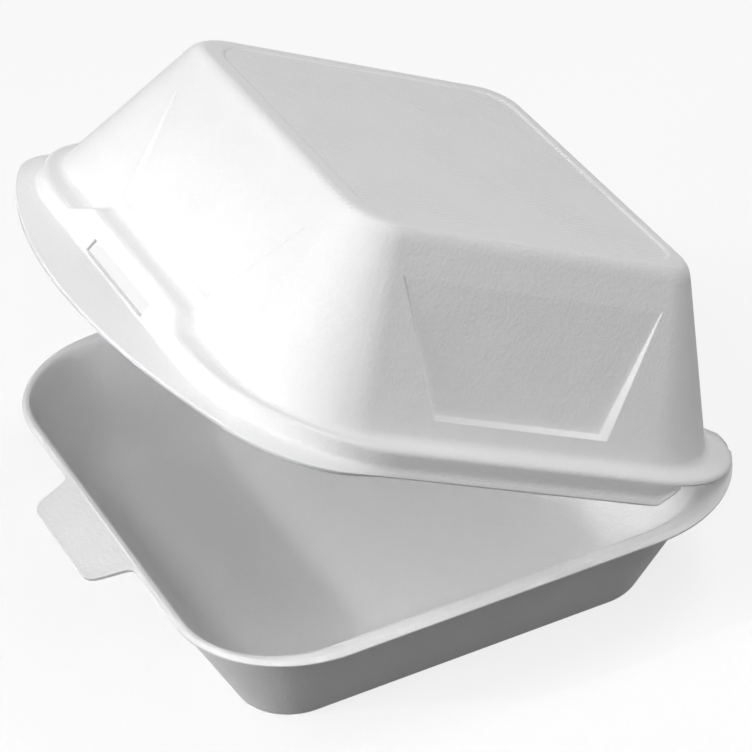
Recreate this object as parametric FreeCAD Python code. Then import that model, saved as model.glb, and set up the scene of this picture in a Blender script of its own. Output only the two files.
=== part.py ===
import FreeCAD, Part
import math
import os

os.makedirs("parts", exist_ok=True)

# A hinged foam box: a shallow tray and a tall lid, formed as one sheet and folded along its back.
# Millimetres. +Z is up, -Y is the front with the latch, and the fold runs along X at the back.
# The origin is the middle of the tray's underside. Fronts and backs are measured from it along Y.

# Tray
tray_height = 28.3
tray_sheet = 2.2
floor_radius = 13.0
tray_lean = 14.0  # how far the wall leans out over the tray's height
floor_edge_round = 2.0
floor_inner_round = 8.0
mouth_edge_round = 2.5

# Rim around the tray
rim_width = 147.4
rim_depth = 136.8  # front of the rim to the fold line
rim_side = 3.4  # from the tray's wall to the rim's edge, at the sides
rim_front = 1.2
rim_back = 5.0
rim_front_radius = 30.0
rim_back_radius = 33.0
rim_overrun = 3.6  # how far the rounded back corners would reach past the fold line
rim_sheet = 1.6
rim_fall = 0.8  # the rim's outer band slopes down by this much
rim_band = 1.4  # how wide that band is

# Latch tongue at the front of the tray
tongue_root_width = 39.6
tongue_tip_width = 32.6
tongue_length = 10.4
tongue_droop = 10.5  # degrees below level
tongue_sheet = 1.2
tongue_corner_radius = 3.2
tongue_inside = 3.0  # how far it runs into the rim

# Fold
fold_clearance = 0.3
opening = 27.2  # degrees the lid stands open

# Lid, as it lies when shut; heights are above the tray's rim
lid_rise = 42.2
lid_sheet = 2.0
lid_top_radius = 9.5
lid_lean = 18.5  # how far the wall leans out from the lid's top to its foot
lid_top_round = 5.0
lid_foot_round = 2.0

# Recessed panels in the lid's top and in its four walls
top_panel_inset = 4.0
top_panel_depth = 0.5
wall_panel_foot = 6.0  # above the rim
wall_panel_head = 5.7  # below the lid's top
wall_panel_foot_length = 47.0
wall_panel_head_length = 81.0
wall_panel_depth = 1.3

# Ledge and skirt around the lid, which hang over the tray's rim
seat_clearance = 0.3
ledge_sheet = 1.3
ledge_side = 6.8  # from the lid's wall to the skirt's outside, at the sides
ledge_front = 5.6
ledge_back = 5.5
skirt_clearance = 0.3  # from the tray's rim, at the sides
skirt_front_clearance = 3.0
skirt_sheet = 0.9
skirt_lean = 0.5
skirt_front_radius = 34.0
skirt_edge = -4.6  # height of the skirt's lower edge
shoulder_round = 1.6
ear_length = 26.4  # flat ears beside the hinge, forward of the fold line
ear_overlap = 1.0
skirt_step = 4.7  # the skirt's end slopes up to the ears over this length

# Lip: the skirt's lower edge turned out, narrow at the sides and bowed at the front
lip_flare = 1.0
lip_sheet = 1.2
lip_corner = 11.2  # the bow starts this far behind the skirt's front
lip_bow = 24.1
lip_corner_radius = 13.0

# Raised boss over the latch slot, in the middle of the lid's front
boss_width = 57.0
boss_rise = 5.0
boss_top_width = 51.0
boss_lean = 3.0  # how far the boss's front leans back over its height
boss_inside = 9.0  # how far it runs into the lid's hollow
boss_round = 1.8
boss_sheet = 1.5
slot_length = 32.3
slot_bottom = -2.4
slot_top = 0.5

hinge_y = rim_depth / 2
hinge_z = tray_height - rim_sheet / 2  # the middle of the rim's rounded back edge
ledge_top = seat_clearance + ledge_sheet
skirt_half = rim_width / 2 + skirt_clearance + skirt_sheet
skirt_front = hinge_y + skirt_front_clearance + skirt_sheet
boss_top_front = skirt_front - boss_lean
far = 300.0  # longer than anything here
beyond = 4.0  # how far a cutting shape runs past what it cuts
hair = 0.05

# Half width, front, back, front corner radius, back corner radius
floor_size = (
    rim_width / 2 - rim_side - tray_lean,
    hinge_y - rim_front - tray_lean,
    hinge_y - rim_back - tray_lean,
    floor_radius, floor_radius,
)
rim_size = (rim_width / 2, hinge_y, hinge_y + rim_overrun, rim_front_radius, rim_back_radius)
lid_top_size = (
    skirt_half - ledge_side - lid_lean,
    skirt_front - ledge_front - lid_lean,
    hinge_y - ledge_back - lid_lean,
    lid_top_radius, lid_top_radius,
)
skirt_size = (skirt_half, skirt_front, far, skirt_front_radius, skirt_front_radius)


def vector(x, y, z):
    return FreeCAD.Vector(x, y, z)


def corner_arc(x, y, z, radius, start, end):
    # An arc about (x, y), from one angle to another, in degrees.
    angles = [math.radians(angle) for angle in (start, (start + end) / 2, end)]
    points = [vector(x + radius * math.cos(a), y + radius * math.sin(a), z) for a in angles]
    return Part.Arc(*points).toShape()


def joined(arcs):
    # A closed outline of arcs, with a straight edge after each.
    edges = []
    for arc, following in zip(arcs, arcs[1:] + arcs[:1]):
        start = arc.valueAt(arc.LastParameter)
        edges += [arc, Part.makeLine(start, following.valueAt(following.FirstParameter))]
    return edges


def outline(size, grow, z):
    # A rounded rectangle at height z, grown outwards all round about fixed corner centres.
    half, front, back, front_radius, back_radius = size
    right = half - front_radius
    back_right = half - back_radius
    return joined([
        corner_arc(right, front_radius - front, z, front_radius + grow, -90, 0),
        corner_arc(back_right, back - back_radius, z, back_radius + grow, 0, 90),
        corner_arc(-back_right, back - back_radius, z, back_radius + grow, 90, 180),
        corner_arc(-right, front_radius - front, z, front_radius + grow, 180, 270),
    ])


def side_face(lower, upper):
    # The face between an edge and the one above it: flat, or conical around a corner.
    low = [lower.valueAt(lower.FirstParameter), lower.valueAt(lower.LastParameter)]
    high = [upper.valueAt(upper.FirstParameter), upper.valueAt(upper.LastParameter)]
    if isinstance(lower.Curve, Part.Line):
        return Part.Face(Part.makePolygon([low[0], low[1], high[1], high[0], low[0]]))
    sweep = math.degrees(lower.LastParameter - lower.FirstParameter)
    return Part.makeLine(low[0], high[0]).revolve(lower.Curve.Center, vector(0, 0, 1), sweep)


def frustum(*outlines):
    # The solid that runs up through outlines which have the same edges.
    faces = [Part.Face(Part.Wire(outlines[0])), Part.Face(Part.Wire(outlines[-1]))]
    for lower, upper in zip(outlines, outlines[1:]):
        faces += [side_face(*pair) for pair in zip(lower, upper)]
    shell = Part.makeShell(faces)
    shell.sewShape()
    solid = Part.makeSolid(Part.Shell(shell.Faces))
    solid.fix(1e-6, 1e-6, 1e-6)
    return solid.removeSplitter()


def plate(edges, thickness):
    return Part.Face(Part.Wire(edges)).extrude(vector(0, 0, thickness))


def block(x_range, y_range, z_range):
    size = [high - low for low, high in (x_range, y_range, z_range)]
    return Part.makeBox(*size, vector(x_range[0], y_range[0], z_range[0]))


def edges_at(shape, z):
    return [
        edge for edge in shape.Edges
        if abs(edge.BoundBox.ZMin - z) < 0.01 and abs(edge.BoundBox.ZMax - z) < 0.01
    ]


def rounded_edges(shape, z, radius):
    return shape.makeFillet(radius, edges_at(shape, z))


def rounded_loop(shape, loop, radius):
    # Rounds the edges that lie level with the loop and within its reach.
    box = Part.Compound(loop).BoundBox
    box.enlarge(0.01)
    edges = [edge for edge in edges_at(shape, box.ZMin + 0.01) if box.isInside(edge.BoundBox)]
    return shape.makeFillet(radius, edges)


# Tray


def tray_wall(z, inset):
    # The wall's outline at height z, moved inward square to the wall by the inset.
    slope = tray_lean / tray_height
    return outline(floor_size, slope * z - inset * math.hypot(1, slope), z)


def make_rim():
    # A flat rim whose outer band slopes down, cut straight along the fold.
    rim = frustum(
        outline(rim_size, 0, tray_height - rim_sheet),
        outline(rim_size, 0, tray_height - rim_fall),
        outline(rim_size, -rim_band, tray_height),
    )
    return rim.cut(block((-far, far), (hinge_y, far), (-far, far)))


def make_tongue():
    # A flat tongue that slopes down from the rim's front edge.
    root = tongue_root_width / 2
    tip = tongue_tip_width / 2
    points = [
        vector(-root, tongue_inside, 0),
        vector(-root, 0, 0),
        vector(-tip, -tongue_length, 0),
        vector(tip, -tongue_length, 0),
        vector(root, 0, 0),
        vector(root, tongue_inside, 0),
    ]
    flat = Part.Face(Part.makePolygon(points + points[:1]))
    tongue = flat.extrude(vector(0, 0, -tongue_sheet))
    corners = [
        edge for edge in tongue.Edges
        if edge.BoundBox.YMax < -tongue_length + 0.01 and edge.BoundBox.XLength < 0.01
    ]
    tongue = tongue.makeFillet(tongue_corner_radius, corners)
    tongue.rotate(vector(0, 0, 0), vector(1, 0, 0), tongue_droop)
    tongue.translate(vector(0, -hinge_y, tray_height - rim_fall))
    below = block((-far, far), (-far, far), (-far, tray_height))
    return tongue.common(below)


def make_bead():
    # The rim's rounded back edge, as long as the fold.
    reach = rim_back_radius - rim_overrun
    half = rim_width / 2 - rim_back_radius + math.sqrt(rim_back_radius ** 2 - reach ** 2)
    start = vector(-half, hinge_y, hinge_z)
    return Part.makeCylinder(rim_sheet / 2, 2 * half, start, vector(1, 0, 0))


def make_tray():
    body = frustum(tray_wall(0, 0), tray_wall(tray_height - rim_sheet, 0))
    body = rounded_edges(body, 0, floor_edge_round)
    hollow = frustum(tray_wall(tray_sheet, tray_sheet), tray_wall(tray_height, tray_sheet))
    hollow = rounded_edges(hollow, tray_sheet, floor_inner_round)
    tray = body.fuse(make_rim()).cut(hollow)
    tray = rounded_loop(tray, tray_wall(tray_height, tray_sheet), mouth_edge_round)
    return tray.fuse([make_tongue(), make_bead()]).removeSplitter()


# Lid, modelled shut, with heights above the tray's rim


def lid_wall(z, inset):
    # The wall's outline at height z, moved inward square to the wall by the inset.
    slope = lid_lean / (lid_rise - ledge_top)
    return outline(lid_top_size, slope * (lid_rise - z) - inset * math.hypot(1, slope), z)


def wall_faces(z, inset):
    # Distances of the right, front and back wall faces from the middle, at height z.
    box = Part.Compound(lid_wall(z, inset)).BoundBox
    return box.XMax, -box.YMin, box.YMax


def rectangle(x_range, y_range, z):
    corners = [
        vector(x_range[0], y_range[0], z),
        vector(x_range[1], y_range[0], z),
        vector(x_range[1], y_range[1], z),
        vector(x_range[0], y_range[1], z),
    ]
    return Part.makePolygon(corners + corners[:1]).Edges


def wall_panels(inset):
    # Four wedges that sink a panel into each wall: deepest at the foot, gone at the head.
    levels = [
        (wall_panel_foot, wall_panel_foot_length / 2, wall_panel_depth),
        (lid_rise - wall_panel_head, wall_panel_head_length / 2, -hair),
    ]
    right, front, back = [], [], []
    for z, half, depth in levels:
        side_face, front_face, back_face = wall_faces(z, inset)
        right.append(rectangle((side_face - depth, side_face + beyond), (-half, half), z))
        front.append(rectangle((-half, half), (-front_face - beyond, -front_face + depth), z))
        back.append(rectangle((-half, half), (back_face - depth, back_face + beyond), z))
    side = frustum(*right)
    return [side, side.mirror(vector(0, 0, 0), vector(1, 0, 0)), frustum(*front), frustum(*back)]


def top_panel(inset):
    # The shallow pocket in the lid's top.
    z = lid_rise - inset
    pocket = outline(lid_top_size, -top_panel_inset, z - top_panel_depth)
    return plate(pocket, top_panel_depth + beyond)


def lid_form(bottom, inset, edge_round):
    form = frustum(lid_wall(bottom, inset), lid_wall(lid_rise - inset, inset))
    form = rounded_edges(form, lid_rise - inset, edge_round)
    return form.cut(wall_panels(inset) + [top_panel(inset)])


def lip_outline(z):
    # The skirt's lower edge, turned out: its front swells forward in one wide arc.
    half = skirt_size[0] + lip_flare
    radius = lip_corner_radius
    bow_radius = (half ** 2 + lip_bow ** 2) / (2 * lip_bow)
    front = lip_corner - skirt_front - lip_bow
    lean = math.degrees(math.asin((half - radius) / (bow_radius - radius)))
    corner_y = front + bow_radius - (bow_radius - radius) * math.cos(math.radians(lean))
    right = corner_arc(half - radius, corner_y, z, radius, lean - 90, 0)
    left = corner_arc(radius - half, corner_y, z, radius, 180, 270 - lean)
    ends = [left.valueAt(left.LastParameter), right.valueAt(right.FirstParameter)]
    bow = Part.Arc(ends[0], vector(0, front, z), ends[1]).toShape()
    sides = Part.makePolygon([
        right.valueAt(right.LastParameter),
        vector(half, far, z),
        vector(-half, far, z),
        left.valueAt(left.FirstParameter),
    ])
    return [bow, right] + sides.Edges + [left]


def make_skirt():
    foot = skirt_edge + lip_sheet
    ear_start = hinge_y - ear_length
    skirt = frustum(outline(skirt_size, 0, foot), outline(skirt_size, -skirt_lean, ledge_top))
    skirt = rounded_edges(skirt, ledge_top, shoulder_round)
    skirt = skirt.fuse(plate(lip_outline(skirt_edge), lip_sheet))
    profile = [
        vector(-far, ear_start - skirt_step, -far),
        vector(-far, ear_start - skirt_step, skirt_edge),
        vector(-far, ear_start, seat_clearance),
        vector(-far, ear_start, far),
        vector(-far, 2 * far, far),
        vector(-far, 2 * far, -far),
    ]
    behind = Part.Face(Part.makePolygon(profile + profile[:1])).extrude(vector(2 * far, 0, 0))
    return skirt.cut(behind)


def make_ears():
    # A flat plate on the tray's back corners, which runs along the fold between them.
    front = hinge_y - ear_length - ear_overlap
    ears = plate(outline(rim_size, 0, seat_clearance), ledge_sheet)
    keep = block((-far, far), (front, hinge_y + fold_clearance), (-far, far))
    return ears.common(keep)


def boss_block(inset):
    # The boss's form, moved inward by the inset; it runs back into the lid's hollow.
    back = skirt_front - ledge_front - boss_inside
    half_foot = boss_width / 2 - inset
    half_head = boss_top_width / 2 - inset
    low = skirt_edge + lip_sheet
    foot = rectangle((-half_foot, half_foot), (-skirt_front + inset, -back), low)
    head = rectangle((-half_head, half_head), (-boss_top_front + inset, -back), boss_rise - inset)
    return frustum(foot, head)


def make_boss():
    boss = boss_block(0)
    top = [
        edge for edge in boss.Edges
        if edge.BoundBox.YMin < -boss_top_front + boss_round
        and edge.BoundBox.ZMax > boss_rise - 0.01
    ]
    sides = [edge for edge in edges_at(boss, boss_rise) if edge.BoundBox.XLength < 0.01]
    edges = top + [edge for edge in sides if not any(edge.isSame(other) for other in top)]
    return boss.makeFillet(boss_round, edges)


def make_hollow():
    # What the lid is open to below: the space under its ledge, and the space inside its wall.
    under = plate(outline(skirt_size, -skirt_sheet, skirt_edge), seat_clearance - skirt_edge)
    return under.fuse(lid_form(skirt_edge, lid_sheet, lid_top_round - lid_sheet))


def make_lid():
    lid = lid_form(seat_clearance, 0, lid_top_round)
    lid = lid.fuse([make_skirt(), make_ears()]).removeSplitter()
    lid = rounded_loop(lid, lid_wall(ledge_top, 0), lid_foot_round)
    lid = lid.fuse(make_boss()).cut([boss_block(boss_sheet), make_hollow()])
    slot = block(
        (-slot_length / 2, slot_length / 2),
        (-skirt_front - beyond, -boss_top_front + boss_sheet + hair),
        (slot_bottom, slot_top),
    )
    lid = lid.cut(slot)
    lid.translate(vector(0, 0, tray_height))
    lid.rotate(vector(0, hinge_y, hinge_z), vector(-1, 0, 0), opening)
    return lid.removeSplitter()


for name, shape in (("base_tray", make_tray()), ("lid", make_lid())):
    shape.exportStep("parts/" + name + ".step")
    print(name, len(shape.Solids), "solid", round(shape.Volume / 1000, 2), "cm3", shape.isValid())
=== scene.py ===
import math

import bmesh
import bpy
from mathutils import Matrix, Vector


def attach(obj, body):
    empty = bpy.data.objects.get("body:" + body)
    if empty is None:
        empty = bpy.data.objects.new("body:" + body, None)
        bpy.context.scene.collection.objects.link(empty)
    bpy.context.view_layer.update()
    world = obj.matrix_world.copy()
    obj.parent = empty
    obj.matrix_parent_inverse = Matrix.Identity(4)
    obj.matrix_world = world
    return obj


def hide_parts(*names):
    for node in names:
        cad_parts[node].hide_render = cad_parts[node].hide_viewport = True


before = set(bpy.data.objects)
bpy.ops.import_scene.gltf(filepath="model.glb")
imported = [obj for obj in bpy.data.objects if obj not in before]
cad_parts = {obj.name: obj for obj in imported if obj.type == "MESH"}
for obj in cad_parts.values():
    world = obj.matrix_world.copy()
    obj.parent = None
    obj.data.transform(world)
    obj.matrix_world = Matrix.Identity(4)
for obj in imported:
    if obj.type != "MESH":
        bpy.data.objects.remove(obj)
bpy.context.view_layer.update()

scene = bpy.context.scene
scene.view_settings.view_transform = "Standard"
mm = 0.001


# Camera: the photograph's own view, rolled a little

cameraSettings = {
    "azimuth": 67.03,  # degrees round from the front
    "elevation": 34.7,
    "roll": -5.09,
    "distance": 893.09 * mm,
    "aimRight": 0.81 * mm,  # what the view's middle passes, beside and above the origin
    "aimUp": 35.92 * mm,
    "lens": 176.8,
    "sensor": 36,
    "clip": (0.05, 20),
}


def makeCamera(s):
    azimuth, elevation, roll = (math.radians(s[k]) for k in ("azimuth", "elevation", "roll"))
    back = Vector((
        math.sin(azimuth) * math.cos(elevation),
        -math.cos(azimuth) * math.cos(elevation),
        math.sin(elevation),
    ))
    level = Vector((math.cos(azimuth), math.sin(azimuth), 0))
    turn = Matrix.Rotation(roll, 3, back)
    right = turn @ level
    up = turn @ back.cross(level)
    bpy.ops.object.camera_add()
    camera = bpy.context.object
    camera.name = "photoCamera"
    camera.data.lens = s["lens"]
    camera.data.sensor_width = s["sensor"]
    camera.data.clip_start, camera.data.clip_end = s["clip"]
    place = right * s["aimRight"] + up * s["aimUp"] + back * s["distance"]
    axes = Matrix((right, up, back)).transposed()
    camera.matrix_world = Matrix.Translation(place) @ axes.to_4x4()
    scene.camera = camera


makeCamera(cameraSettings)
print("camera ready")


# Shader maths, for the studio and for the foam

class Shade:
    # A node's output: maths written on it becomes Math nodes
    def __init__(self, maker, socket):
        self.maker, self.socket = maker, socket

    def operate(self, operation, *values):
        return self.maker.node("ShaderNodeMath", {"operation": operation}, *values)

    def __add__(self, other):
        return self.operate("ADD", self, other)

    def __mul__(self, other):
        return self.operate("MULTIPLY", self, other)

    def __rsub__(self, other):
        return self.operate("SUBTRACT", other, self)

    def largest(self, other):
        return self.operate("MAXIMUM", self, other)

    def smooth(self, low, high):
        # 0 below low, 1 above high, soft between
        settings = {"interpolation_type": "SMOOTHSTEP"}
        return self.maker.node("ShaderNodeMapRange", settings, self, low, high)

    def feed(self, target):
        self.maker.tree.links.new(self.socket, target)

    __radd__ = __add__
    __rmul__ = __mul__


class NodeMaker:
    # Adds nodes to a material or to the world
    def __init__(self, owner):
        owner.use_nodes = True
        self.tree = owner.node_tree

    def node(self, kind, settings=None, *inputs, output=0, **named):
        # What is in inputs goes to the first sockets, and what is in named to the sockets of those names
        made = self.tree.nodes.new(kind)
        for key, value in (settings or {}).items():
            setattr(made, key, value)
        values = dict(enumerate(inputs))
        values.update((name.replace("_", " "), value) for name, value in named.items())
        for key, value in values.items():
            if isinstance(value, Shade):
                value.feed(made.inputs[key])
            elif value is not None:
                made.inputs[key].default_value = value
        return Shade(self, made.outputs[output])

    def mixColors(self, share, low, high):
        unused = (None,) * 5  # the Mix node's sockets for other kinds of data
        return self.node("ShaderNodeMix", {"data_type": "RGBA"}, share, *unused, low, high, output=2)

    def shownRays(self):
        # 1 on the rays that show the surroundings: to the camera, in gloss and through glass
        outputs = self.node("ShaderNodeLightPath").socket.node.outputs
        kinds = ("Is Camera Ray", "Is Glossy Ray", "Is Transmission Ray")
        camera, gloss, glass = (Shade(self, outputs[kind]) for kind in kinds)
        return camera.largest(gloss).largest(glass)


# Studio: pale floor, soft lamps

white = (1, 1, 1, 1)

studioSettings = {
    "floorSize": 6,
    "floorDrop": 0.2 * mm,  # how far the floor lies below the tray
    "floorShade": 0.06,  # as the object sees it
    "floorRoughness": 0.9,
    "airStrength": 0.1,
    "glow": 0.8,  # how much of the floor's white is its own, for the camera; the rest takes the shadow
    "lamps": [  # name, place, aim, size, power, and the beam's full angle in degrees if it is narrow
        ("frontLamp", (0.15, -1.2, 0.62), (0, 0, 0.05), 0.5, 5.8),
        ("highFrontLamp", (0.0, -0.8, 1.2), (0, 0, 0.05), 0.5, 3.2),
        ("sideLamp", (1.0, -0.4, 1.0), (0, 0, 0.05), 0.6, 2.6),
        ("highSideLamp", (0.75, 0.15, 1.2), (0, 0, 0.05), 0.6, 2.8),
        ("topLamp", (0.1, 0.45, 1.35), (0, 0, 0.05), 0.6, 5.0),
        ("insideLamp", (-0.1, -1.15, 0.58), (0.02, -0.05, -0.04), 0.3, 0.06, 6),
    ],
}


def makeLamp(name, place, aim, size, power, spread=180):
    bpy.ops.object.light_add(type="AREA", location=place)
    lamp = bpy.context.object
    lamp.name = name
    lamp.data.shape = "DISK"
    lamp.data.size = size
    lamp.data.energy = power
    lamp.data.spread = math.radians(spread)
    lamp.rotation_mode = "QUATERNION"
    lamp.rotation_quaternion = (Vector(aim) - Vector(place)).to_track_quat("-Z", "Y")


def makePaper(s):
    # White where it is shown, and dark to the object, so that little light comes up from it
    material = bpy.data.materials.new("studioPaper")
    maker = NodeMaker(material)
    shader = maker.tree.nodes["Principled BSDF"]
    shown = maker.shownRays()
    dark = (s["floorShade"],) * 3 + (1,)
    maker.mixColors(shown, dark, white).feed(shader.inputs["Base Color"])
    shader.inputs["Roughness"].default_value = s["floorRoughness"]
    paper = Shade(maker, shader.outputs[0])
    glow = maker.node("ShaderNodeEmission", None, white, 1.0)
    surface = maker.node("ShaderNodeMixShader", None, shown * s["glow"], paper, glow)
    surface.feed(maker.tree.nodes["Material Output"].inputs["Surface"])
    return material


def makeAir(s):
    # White where it is shown, and only a faint light on the object
    world = bpy.data.worlds.new("studioAir")
    maker = NodeMaker(world)
    background = maker.tree.nodes["Background"]
    background.inputs["Color"].default_value = white
    strength = maker.shownRays() * (1 - s["airStrength"]) + s["airStrength"]
    strength.feed(background.inputs["Strength"])
    scene.world = world


def makeStudio(s):
    bpy.ops.object.select_all(action="DESELECT")
    bpy.ops.mesh.primitive_plane_add(size=s["floorSize"], location=(0, 0, -s["floorDrop"]))
    floor = bpy.context.object
    floor.name = "studioFloor"
    floor.data.materials.append(makePaper(s))
    makeAir(s)
    for lamp in s["lamps"]:
        makeLamp(*lamp)


makeStudio(studioSettings)
print("studio ready")


# Forms: a formed sheet is lofted through level rings, each a rounded rectangle.
# A ring is its height, half width, front, back, front corner radius and back corner radius in mm,
# then how far the sheet is softened along it. The softened rings are numbered from 1.

hingeLine = (0, 68.4, 27.5)  # mm, the middle of the fold, which runs along X
cornerSteps = 20
softSteps = 6
softLimit = 0.46  # a bend takes no more than this share of the stretch to the next point
columnCuts = 75
columnEdge = 20 * mm  # only longer edges are cut into columns
ringSpacing = 20 * mm  # rings are bridged while they stand well apart, then moved to their heights
nearness = 0.1  # mm within which a point counts as on a ring or at a fold line
facing = 0.7  # how far a face's normal points along an axis, at least, if it looks that way
tiny = 1e-6


def mixed(a, b, share):
    return tuple(p + (q - p) * share for p, q in zip(a, b))


def softened(points):
    # Rounds a path at each point by the last value of that point.
    # Gives the new path, and for each old point the numbers of the first and last points made from it.
    path, spans = [points[0]], [(1, 1)]
    for before, point, after in zip(points, points[1:], points[2:]):
        bend = [point]
        if point[-1]:
            ends = []
            for other in (before, after):
                length = math.dist(other[:2], point[:2])
                ends.append(mixed(point, other, min(softLimit, point[-1] / length)))
            shares = [i / softSteps for i in range(softSteps + 1)]
            bend = [mixed(mixed(ends[0], point, t), mixed(point, ends[1], t), t) for t in shares]
        spans.append((len(path) + 1, len(path) + len(bend)))
        path += bend
    spans.append((len(path) + 1, len(path) + 1))
    return path + [points[-1]], spans


def alongPath(path, share):
    # The point at a share of the path's length
    lengths = [math.dist(a[:2], b[:2]) for a, b in zip(path, path[1:])]
    left = share * sum(lengths)
    for a, b, length in zip(path, path[1:], lengths):
        if left <= length:
            return mixed(a, b, left / length)
        left -= length
    return path[-1]


def smoothStep(low, high, value):
    t = min(1, max(0, (value - low) / (high - low)))
    return t * t * (3 - 2 * t)


openForms = {}  # the mesh being edited, held so that its vertices stay known from one step to the next


def openForm():
    form = openForms.get("now")
    if not form or not form.is_valid:
        form = openForms["now"] = bmesh.from_edit_mesh(bpy.context.edit_object.data)
    return form


def ringLayer():
    # Holds the number of each vertex's ring
    layers = openForm().verts.layers.int
    return layers.get("ring") or layers.new("ring")


def selectVerts(verts):
    bpy.ops.mesh.select_all(action="DESELECT")
    for vert in verts:
        vert.select = True
    openForm().select_flush_mode()
    bmesh.update_edit_mesh(bpy.context.edit_object.data)


def selectParts(kind, parts):
    # Goes over to edges or faces and selects some of them
    bpy.ops.mesh.select_all(action="DESELECT")
    bpy.ops.mesh.select_mode(type=kind)
    for part in parts:
        part.select = True
    bmesh.update_edit_mesh(bpy.context.edit_object.data)


def selectRings(*numbers):
    ring = ringLayer()
    selectVerts([v for v in openForm().verts if v[ring] in numbers])


def moveVerts(verts, x, y, z):
    selectVerts(verts)
    bpy.ops.transform.translate(value=(x, y, z))


def bevelEdges(width, steps):
    bpy.ops.mesh.bevel(offset_type="OFFSET", offset=width * mm, segments=steps, affect="EDGES")
    bpy.ops.mesh.select_mode(type="VERT")


def cutAcross(line, **options):
    # Cuts the whole form along the upright plane at y = line
    bpy.ops.mesh.select_all(action="SELECT")
    bpy.ops.mesh.bisect(plane_co=(0, line * mm, 0), plane_no=(0, 1, 0), **options)


def crimpFold(line, height, share):
    # Thins the sheet at its fold line, towards a height
    selectVerts([v for v in openForm().verts if v.co.y > (line - nearness) * mm])
    bpy.ops.transform.resize(value=(1, 1, share), center_override=(0, 0, height * mm))


def turnFacesOut():
    bpy.ops.mesh.select_all(action="SELECT")
    bpy.ops.mesh.normals_make_consistent(inside=False)


def startForm(name):
    bpy.ops.object.select_all(action="DESELECT")
    bpy.ops.mesh.primitive_plane_add(size=2)
    piece = bpy.context.object
    piece.name = name
    piece.data.name = name
    bpy.ops.object.mode_set(mode="EDIT")
    bpy.ops.mesh.delete(type="VERT")
    return piece


def freshVerts():
    # The vertices that belong to no ring yet
    ring = ringLayer()
    return [v for v in openForm().verts if not v[ring]]


def addRing(number, size):
    # A plane with its corners bevelled round, and only its edges kept
    half, front, back, frontRadius, backRadius = (v * mm for v in size[1:6])
    bpy.ops.mesh.select_all(action="DESELECT")
    bpy.ops.mesh.primitive_plane_add(size=2, location=(0, 0, 0))
    bpy.ops.transform.resize(value=(half, (front + back) / 2, 1), center_override=(0, 0, 0))
    bpy.ops.transform.translate(value=(0, (back - front) / 2, number * ringSpacing))
    for side, radius in ((-1, frontRadius), (1, backRadius)):
        fresh = freshVerts()
        line = max(v.co.y * side for v in fresh)
        selectVerts([v for v in fresh if v.co.y * side > line - tiny])
        bpy.ops.mesh.bevel(offset_type="OFFSET", offset=radius, segments=cornerSteps, affect="VERTICES")
    fresh, ring = freshVerts(), ringLayer()
    for vert in fresh:
        vert[ring] = number
    selectVerts(fresh)
    bpy.ops.mesh.delete(type="ONLY_FACE")


def loftForm(name, sizes):
    piece = startForm(name)
    for number, size in enumerate(sizes, 1):
        addRing(number, size)
        if number > 1:
            selectRings(number - 1, number)
            bpy.ops.mesh.bridge_edge_loops()
    for number, size in enumerate(sizes, 1):
        selectRings(number)
        bpy.ops.transform.translate(value=(0, 0, size[0] * mm - number * ringSpacing))
    return piece


def capRing(number):
    selectRings(number)
    bpy.ops.mesh.edge_face_add()


def cutColumns(firstRing, lastRing, chosen):
    # Divides the long straight edges of some rings into columns
    ring = ringLayer()

    def isLevel(edge):
        a, b = edge.verts
        return a[ring] == b[ring] and firstRing <= a[ring] <= lastRing

    long = [e for e in openForm().edges if isLevel(e) and e.calc_length() > columnEdge]
    selectParts("EDGE", [e for e in long if chosen((e.verts[0].co + e.verts[1].co) / 2)])
    bpy.ops.mesh.subdivide(number_cuts=columnCuts)
    bpy.ops.mesh.select_mode(type="VERT")


def ringLoops(firstRing, lastRing):
    # The vertices of some rings in order, from the middle of the front towards +X and round
    ring = ringLayer()
    loops = {}
    for number in range(firstRing, lastRing + 1):
        members = {v for v in openForm().verts if v[ring] == number}
        vert = min((v for v in members if v.co.y < 0), key=lambda v: abs(v.co.x))
        loop, seen = [vert], {vert}
        while True:
            near = [e.other_vert(vert) for e in vert.link_edges]
            near = [v for v in near if v in members and v not in seen]
            if not near:
                break
            vert = max(near, key=lambda v: v.co.x)
            loop.append(vert)
            seen.add(vert)
        loops[number] = loop
    return loops


def finishForm(piece, name):
    bpy.ops.object.mode_set(mode="OBJECT")
    rings = piece.data.attributes.get("ring")
    if rings:
        piece.data.attributes.remove(rings)
    bpy.ops.object.select_all(action="DESELECT")
    piece.select_set(True)
    bpy.context.view_layer.objects.active = piece
    bpy.ops.object.shade_smooth()
    shading = piece.modifiers.new("evenShading", "WEIGHTED_NORMAL")
    shading.keep_sharp = True
    bpy.ops.object.modifier_apply(modifier=shading.name)
    print(name, len(piece.data.polygons), "faces")


# Tray: one closed loft, up the outer wall, over the rim and down the inside

traySizes = {
    "rings": [
        (0, 40, 38, 33, 10, 10, 0),  # underside
        (0, 56.25, 54.3, 47.05, 13, 13, 1.0),
        (26.8, 69.8, 67.25, 63.2, 25.5, 25.5, 1.4),  # wall, up to the rim
        (26.8, 73.3, 68.1, 71.7, 29.7, 32.7, 0.3),  # rim's underside
        (27.5, 73.7, 68.4, 72.0, 30, 33, 0.4),  # rim's edge
        (28.3, 72.4, 67.5, 70.8, 28.9, 31.8, 0.5),  # rim's crest
        (28.3, 68.8, 66.0, 62.1, 24.2, 24.2, 2.8),  # mouth
        (1.9, 55.4, 53.4, 46.3, 12.2, 12.2, 7.0),  # inner floor
        (1.9, 36, 34, 30, 8, 8, 0),
    ],
    "wall": 2,  # places in the list above
    "edge": 4,
    "crest": 5,
    "crimpStart": 65.2,  # the rim thins to the fold from here
    "crimpMiddle": 27.1,
    "crimpShare": 0.33,
}

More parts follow.
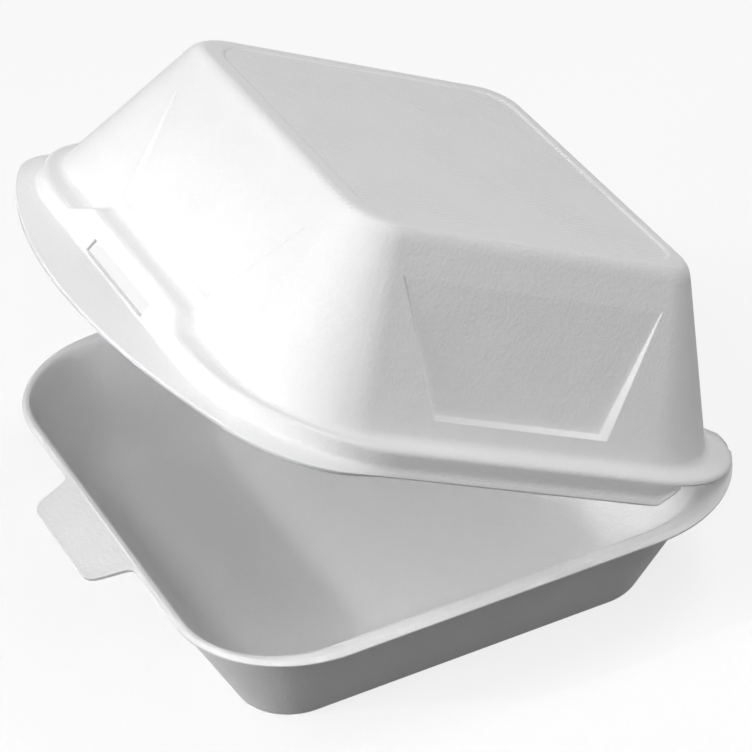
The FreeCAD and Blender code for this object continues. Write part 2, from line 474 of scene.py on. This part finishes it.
tongueSizes = {
    "outline": [  # distance from the middle, distance from the rim's edge, softness
        (0, -10.3, 0),
        (16.4, -10.3, 3.0),
        (19.9, 0, 1.6),
        (22.5, 0, 0),
    ],
    "droop": 10.5,
}


def pullTongue(s, loops):
    # Draws the middle of the rim's front edge out into the tongue
    path = softened(s["outline"])[0]
    fall = math.tan(math.radians(s["droop"]))
    reach = s["outline"][-1][0] * mm
    columns = {}  # the vertices at each tenth of a millimetre along the front
    for loop in loops.values():
        half = [v for v in loop[:len(loop) // 4] if v.co.x <= reach and v.co.y < 0]
        for vert in half + loop[-len(half) + 1:]:
            columns.setdefault(round(vert.co.x / mm, 1), []).append(vert)
    for verts in columns.values():
        x = sum(v.co.x for v in verts) / len(verts)
        target = alongPath(path, abs(x) / reach)
        across = math.copysign(target[0] * mm, x) - x
        moveVerts(verts, across, target[1] * mm, target[1] * mm * fall)


def makeTray(s):
    sizes, spans = softened(s["rings"])
    wall, edge, crest = (spans[s[k]] for k in ("wall", "edge", "crest"))
    piece = loftForm("foamTray", sizes)
    capRing(1)
    capRing(len(sizes))
    cutColumns(wall[1], crest[1], lambda middle: middle.y < 0 and abs(middle.x) < mm)  # the front
    pullTongue(tongueSizes, ringLoops(wall[1] + 1, edge[1]))
    cutAcross(hingeLine[1], use_fill=True, clear_outer=True)
    cutAcross(s["crimpStart"])
    crimpFold(hingeLine[1], s["crimpMiddle"], s["crimpShare"])
    turnFacesOut()
    finishForm(piece, "tray")
    return piece


# Lid: one open sheet, lofted shut, thickened inwards and then swung open on the hinge

lidSizes = {
    "rings": [  # heights above the tray's rim, as the lid lies when shut
        (41.35, 30, 28, 26, 6, 6, 0),  # top panel
        (41.35, 44.3, 42.0, 39.5, 9.3, 8.2, 0.25),
        (41.8, 44.8, 42.6, 40.1, 9.8, 8.4, 0.4),  # border around it
        (41.8, 48.2, 48.8, 43.6, 11.2, 7.9, 3.5),
        (1.6, 69.32, 65.45, 63.15, 24.6, 28.1, 1.7),  # wall's foot
        (1.6, 74.3, 71.7, 72.0, 36.4, 36.5, 1.5),  # shoulder
        (-1.0, 74.66, 72.05, 72.2, 36.7, 36.6, 0),  # skirt
        (-2.6, 74.9, 72.3, 72.3, 37.0, 36.7, 0.8),  # lip's root
        (-4.2, 75.9, 73.3, 73.3, 38.0, 37.7, 0),  # lip's edge
    ],
    "border": 3,  # places in the list above
    "foot": 4,
    "shoulder": 5,
    "skirt": 6,
    "root": 7,
    "sideColumns": 60,  # the sides have columns too, beyond this distance from the middle
    "sheet": 1.15,
    "edgeRound": 0.3,
    "edgeSteps": 2,
    "backLine": 68.6,
    "crimpStart": 64.9,  # the ledge turns down from here and thins to the fold
    "crimpDrop": 1.9,
    "crimpShare": 0.45,
    "rim": traySizes["rings"][traySizes["crest"]][0],
    "opening": 27.17,
}

panelSizes = {
    "walls": [  # axis and side of the wall, and the panel's foot: height, middle, half length and depth
        (0, 1, 6.0, -1.5, 23.2, 2.0),
        (0, -1, 6.0, -1.5, 23.2, 2.0),
        (1, -1, 7.8, 0.0, 24.1, 1.1),
        (1, 1, 6.0, 0.0, 23.2, 2.0),
    ],
    "head": 33.0,
    "headHalf": 35.4,
    "step": 1.4,
    "taper": 0.6,  # how much of the step's width is lost at the head
    "soft": 0.25,
    "softSteps": 3,
}

bossSizes = {
    "half": 30.6,
    "topHalf": 23.4,
    "rise": 3.3,
    "footBack": 1.5,  # how far the wall's foot moves back behind the boss
    "lean": 2.4,
    "skirtLean": 1.2,
    "slotHalf": 16.15,
    "slotTop": 0.9,
}

lipSizes = {
    "corner": 61.1,  # the front arc would meet the sides this far before the origin
    "bow": 24.1,  # how much further its middle reaches
    "cornerRadius": 27.0,
}

earSizes = {
    "fadeStart": 34.5,
    "fadeEnd": 42.5,
    "left": 0.04,  # share of the skirt that is left where the ear starts
}


def insetFace(face, width):
    # Insets a face and gives the new one inside it
    selectParts("FACE", [face])
    bpy.ops.mesh.inset(thickness=width * mm, depth=0)
    return next(f for f in openForm().faces if f.select)


def headAndFoot(face):
    # A face's corners in its upper half, and those in its lower half
    middle = sum(v.co.z for v in face.verts) / len(face.verts)
    return [v for v in face.verts if v.co.z > middle], [v for v in face.verts if v.co.z <= middle]


def borderMoves(s, border, normal, point, axis, low, center, footHalf):
    # What brings the corners of a first inset to the panel's corners, within the wall's plane
    moves = []
    for z, half, verts in zip((s["head"], low), (s["headHalf"], footHalf), headAndFoot(border)):
        for vert in verts:
            place = [0, 0, z * mm]
            place[1 - axis] = center * mm + math.copysign(half * mm, vert.co[1 - axis])
            rest = normal.dot(point) - normal[2] * place[2] - normal[1 - axis] * place[1 - axis]
            place[axis] = rest / normal[axis]
            moves.append((vert, Vector(place) - vert.co))
    return moves


def floorMoves(s, floor, outerHead, sink):
    # What draws the head of a second inset back to the first one's, and sinks its foot
    head, foot = headAndFoot(floor)
    moves = [(vert, sink) for vert in foot]
    for vert in head:
        outer = min(outerHead, key=lambda place: (place - vert.co).length)
        moves.append((vert, (outer - vert.co) * s["taper"]))
    return moves


def moveEach(moves):
    bpy.ops.mesh.select_mode(type="VERT")
    for vert, move in moves:
        moveVerts([vert], *move)


def softenPanel(s, floor):
    # Bevels the panel's edges, apart from its head, which runs out flat
    steps = {f for e in floor.edges for f in e.link_faces} - {floor}
    spokes = {e for v in floor.verts for e in v.link_edges} - set(floor.edges)
    edges = {e for f in steps for e in f.edges}
    headLevel = (s["head"] - 2 * s["step"]) * mm
    flat = {e for e in edges if min(v.co.z for v in e.verts) > headLevel}
    for edge in flat:
        edge.smooth = False
    selectParts("EDGE", edges - spokes - flat)
    bevelEdges(s["soft"], s["softSteps"])


def sinkPanels(s, top, foot):
    # Gives each wall its sunk panel, and takes the panels' points out of the rings
    for axis, side, low, center, footHalf, depth in s["walls"]:
        walls = [f for f in openForm().faces if f.normal[axis] * side > facing]
        wall = max(walls, key=lambda f: f.calc_area())
        normal, point = wall.normal.copy(), wall.verts[0].co.copy()
        border = insetFace(wall, s["step"])
        moveEach(borderMoves(s, border, normal, point, axis, low, center, footHalf))
        outerHead = [v.co.copy() for v in headAndFoot(border)[0]]
        floor = insetFace(border, s["step"])
        moveEach(floorMoves(s, floor, outerHead, -normal * depth * mm))
        softenPanel(s, floor)
    ring = ringLayer()
    for vert in openForm().verts:
        if (foot + nearness) * mm < vert.co.z < (top - nearness) * mm:
            vert[ring] = -1


def raiseBoss(s, loops, foot, shoulder, skirt, skirtLevel):
    # Lifts the ledge, the shoulder and the slot's top in the middle of the front
    groups = {}
    for number, loop in loops.items():
        for vert in loop:
            share = 1 - smoothStep(s["topHalf"] * mm, s["half"] * mm, abs(vert.co.x))
            if vert.co.y > 0 or share == 0:
                continue
            if number <= foot[1]:
                move = (s["footBack"], s["rise"])
            elif number <= shoulder[1]:
                move = (s["lean"], s["rise"])
            elif number <= skirt[1]:
                move = (s["skirtLean"], s["slotTop"] - skirtLevel)
            else:
                continue
            groups.setdefault((move, round(share, 3)), []).append(vert)
    for (move, share), verts in groups.items():
        moveVerts(verts, 0, move[0] * share * mm, move[1] * share * mm)


def lipArcs(s, half):
    # Middle and radius of the lip's front arc and of its corner arc at +X, and the angle where they meet
    radius = s["cornerRadius"]
    bowRadius = (half ** 2 + s["bow"] ** 2) / (2 * s["bow"])
    bowMiddle = bowRadius - s["corner"] - s["bow"]
    cornerX = half - radius
    lean = math.asin(cornerX / (bowRadius - radius))
    cornerY = bowMiddle - (bowRadius - radius) * math.cos(lean)
    return (0, bowMiddle, bowRadius), (cornerX, cornerY, radius), lean


def reachArc(arc, start, away):
    # How far a line from start runs until it leaves a circle, or None if it misses it
    middleX, middleY, radius = arc
    offset = Vector((start.x - middleX, start.y - middleY))
    along = offset.dot(away)
    room = along * along - offset.dot(offset) + radius * radius
    return -along + math.sqrt(room) if room > 0 else None


def placeOnLip(s, edgeSize, x, y):
    # Where a line from inside the lip through (x, y) meets the lip's outline
    half, front, radius = edgeSize[1], edgeSize[2], edgeSize[4]
    bow, (cornerX, cornerY, cornerRadius), lean = lipArcs(s, half)
    start = Vector((max(radius - half, min(half - radius, x)), radius - front))
    away = Vector((x, y)) - start
    if away.y > -tiny:
        return x, y
    away.normalize()
    reach = reachArc((math.copysign(cornerX, x), cornerY, cornerRadius), start, away)
    if reach is not None:
        hit = start + away * reach
        if lean <= math.atan2(abs(hit.x) - cornerX, cornerY - hit.y) <= math.pi / 2:
            return hit
    reaches = [reachArc(bow, start, away)]
    if abs(away.x) > tiny:
        reaches.append((half - abs(start.x)) / abs(away.x))
    return start + away * min(r for r in reaches if r is not None)


def bowLip(s, loops, edgeSize):
    # Swells the lip's front edge forward in one wide arc that rounds into the sides
    for vert in loops[max(loops)]:
        if vert.co.y < 0:
            x, y = placeOnLip(s, edgeSize, vert.co.x / mm, vert.co.y / mm)
            moveVerts([vert], x * mm - vert.co.x, y * mm - vert.co.y, 0)


def turnBend(loops, first, last):
    # Turns the front of the bend at the lip's root towards the lip's new place
    for place, edge in enumerate(loops[max(loops)]):
        if edge.co.y > 0:
            continue
        start, middle, end = (loops[k][place].co.copy() for k in (first, (first + last) // 2, last))
        corner = middle * 2 - (start + end) / 2
        away = edge.co - corner
        target = corner + away * ((end - corner).length / away.length)
        for number in range(first + 1, last + 1):
            t = (number - first) / softSteps
            vert = loops[number][place]
            bent = (start * (1 - t) + corner * t) * (1 - t) + (corner * (1 - t) + target * t) * t
            moveVerts([vert], *(bent - vert.co))


def fadeSkirt(s, loops, bendEnd):
    # Lets the skirt shrink up to the shoulder's bend, and so run out into the flat ears beside the hinge
    below = [loops[k] for k in sorted(loops) if k > bendEnd]
    for place, anchor in enumerate(loops[bendEnd]):
        share = smoothStep(s["fadeStart"] * mm, s["fadeEnd"] * mm, anchor.co.y)
        if share:
            selectVerts([loop[place] for loop in below])
            left = 1 - share * (1 - s["left"])
            bpy.ops.transform.resize(value=(left, left, left), center_override=anchor.co)
    ring = ringLayer()
    end = s["fadeEnd"] * mm
    selectVerts([v for v in openForm().verts if v[ring] > bendEnd and v.co.y > end])
    bpy.ops.mesh.delete(type="VERT")


def cutSlot(s, rows):
    # Opens the latch slot in the skirt, in the middle of the front
    ring = ringLayer()
    faces = [f for f in openForm().faces if {v[ring] for v in f.verts} == rows]
    middles = [(f, f.calc_center_median()) for f in faces]
    half = s["slotHalf"] * mm
    selectParts("FACE", [f for f, middle in middles if middle.y < 0 and abs(middle.x) < half])
    bpy.ops.mesh.delete(type="FACE")
    bpy.ops.mesh.select_mode(type="VERT")


def thicken(s, piece):
    # Gives the sheet its thickness and rounds both borders of its cut edge, apart from the fold
    bpy.ops.object.mode_set(mode="OBJECT")
    for i in range(2):
        piece.data.materials.append(None)  # the second marks the sheet's cut edge
    sheet = piece.modifiers.new("sheet", "SOLIDIFY")
    sheet.thickness = s["sheet"] * mm
    sheet.offset = -1
    sheet.material_offset_rim = 1
    bpy.ops.object.modifier_apply(modifier=sheet.name)
    bpy.ops.object.mode_set(mode="EDIT")
    fold = (s["backLine"] - nearness) * mm
    borders = [e for e in openForm().edges if sorted(f.material_index for f in e.link_faces) == [0, 1]]
    selectParts("EDGE", [e for e in borders if min(v.co.y for v in e.verts) < fold])
    bevelEdges(s["edgeRound"], s["edgeSteps"])


def swingOpen(s):
    bpy.ops.mesh.select_all(action="SELECT")
    bpy.ops.transform.translate(value=(0, 0, s["rim"] * mm))
    bpy.ops.transform.rotate(
        value=math.radians(s["opening"]), orient_axis="X", orient_type="GLOBAL",
        center_override=Vector(hingeLine) * mm,
    )


def makeLid(s):
    sizes, spans = softened(s["rings"])
    levels = [ring[0] for ring in s["rings"]]
    foot, shoulder, skirt, root = (spans[s[k]] for k in ("foot", "shoulder", "skirt", "root"))
    piece = loftForm("foamLid", sizes)
    capRing(1)
    turnFacesOut()
    sinkPanels(panelSizes, sizes[spans[s["border"]][1] - 1][0], sizes[foot[0] - 1][0])
    beyond = s["sideColumns"] * mm
    cutColumns(foot[0], len(sizes), lambda middle: middle.y < 0 or abs(middle.x) > beyond)
    loops = ringLoops(foot[0], len(sizes))
    bowLip(lipSizes, loops, s["rings"][-1])
    turnBend(loops, *root)
    raiseBoss(bossSizes, loops, foot, shoulder, skirt, levels[s["skirt"]])
    fadeSkirt(earSizes, loops, shoulder[1])
    cutAcross(s["backLine"], clear_outer=True)
    cutSlot(bossSizes, {skirt[0], root[0]})
    cutAcross(s["crimpStart"])
    thicken(s, piece)
    crimpFold(s["backLine"], levels[s["shoulder"]], s["crimpShare"])
    bpy.ops.transform.translate(value=(0, 0, -s["crimpDrop"] * mm))
    swingOpen(s)
    finishForm(piece, "lid")
    piece.data.materials.clear()
    return piece


# Fold: the crimped bead on which the lid turns

foldSizes = {
    "radius": 0.62,
    "half": 54.0,
    "sides": 24,
    "endRound": 0.3,
    "endSteps": 3,
}


def makeFold(s):
    piece = startForm("foamFold")
    bpy.ops.mesh.primitive_cylinder_add(
        vertices=s["sides"], radius=s["radius"] * mm, depth=2 * s["half"] * mm,
        location=Vector(hingeLine) * mm, rotation=(0, math.pi / 2, 0),
    )
    selectParts("FACE", [f for f in openForm().faces if abs(f.normal.x) > facing])  # the two ends
    bpy.ops.mesh.region_to_loop()
    bevelEdges(s["endRound"], s["endSteps"])
    finishForm(piece, "fold")
    return piece


tray = makeTray(traySizes)
lid = makeLid(lidSizes)
fold = makeFold(foldSizes)


# Foam: matt beads and grain, slow unevenness, and faint ridges on the lid's top

foamSettings = {
    "colors": ((0.9, 0.9, 0.9, 1), (0.95, 0.95, 0.95, 1)),
    "grainInColor": 0.6,  # the grain's share in the colour's changes; the rest is the skin's
    "gloss": 0.25,
    "roughness": 0.5,
    "roughnessSpread": 0.16,
    "detail": 2,
    "beadScale": 950,  # beads of the foam, about 1 mm across
    "beadHeight": 0.05 * mm,
    "grainScale": 2600,
    "grainHeight": 0.07 * mm,
    "skinScale": 75,  # slow unevenness of the sheet
    "skinHeight": 0.25 * mm,
    "ridgeScale": 210,
    "ridgeHeight": 0.11 * mm,
    "ridgeWander": 6,
    "ridgeWanderScale": 0.12,
    "patchScale": 45,
    "patchDetail": 1,
    "ridgePatch": (0.44, 0.6),  # the ridges come and go in patches
    "panelLevels": (41.7, 42.0, 42.3, 42.5),  # heights over the hinge, below and above the top panel
}


def makeFoam(s):
    material = bpy.data.materials.new("foam")
    maker = NodeMaker(material)
    shader = maker.tree.nodes["Principled BSDF"]
    place = maker.node("ShaderNodeTexCoord", output="Object")
    swing = (-math.radians(lidSizes["opening"]), 0, 0)
    shut = maker.node(
        "ShaderNodeMapping", {"vector_type": "TEXTURE"}, place, Vector(hingeLine) * mm, swing
    )
    height = maker.node("ShaderNodeSeparateXYZ", None, shut, output="Z")
    low, lowTop, highFoot, high = (v * mm for v in s["panelLevels"])
    panel = height.smooth(low, lowTop) * (1 - height.smooth(highFoot, high))

    def noise(where, scale, detail):
        return maker.node("ShaderNodeTexNoise", None, Vector=where, Scale=scale, Detail=detail)

    beads = maker.node("ShaderNodeTexVoronoi", {"feature": "F1"}, Vector=place, Scale=s["beadScale"])
    grain = noise(place, s["grainScale"], s["detail"])
    skin = noise(place, s["skinScale"], s["detail"])
    patch = noise(shut, s["patchScale"], s["patchDetail"]).smooth(*s["ridgePatch"])
    ridges = maker.node(
        "ShaderNodeTexWave", {"bands_direction": "X"}, output="Fac", Vector=shut, Scale=s["ridgeScale"],
        Distortion=s["ridgeWander"], Detail=s["detail"], Detail_Scale=s["ridgeWanderScale"],
    )
    surface = (
        beads * s["beadHeight"] + grain * s["grainHeight"] + skin * s["skinHeight"]
        + ridges * panel * patch * s["ridgeHeight"]
    )
    share = grain * s["grainInColor"] + skin * (1 - s["grainInColor"])
    roughness = skin * s["roughnessSpread"] + (s["roughness"] - s["roughnessSpread"] / 2)
    normal = maker.node("ShaderNodeBump", None, Height=surface, Distance=1, Strength=1)
    shader.inputs["Specular IOR Level"].default_value = s["gloss"]
    maker.mixColors(share, *s["colors"]).feed(shader.inputs["Base Color"])
    roughness.feed(shader.inputs["Roughness"])
    normal.feed(shader.inputs["Normal"])
    return material


foam = makeFoam(foamSettings)
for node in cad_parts.values():
    for slot in node.material_slots:
        slot.material = foam
for piece, body, node in ((tray, "tray", "base_tray"), (lid, "lid", "lid"), (fold, "tray", None)):
    piece.data.materials.append(foam)
    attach(piece, body)
    if node:
        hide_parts(node)
print("foam on all pieces")
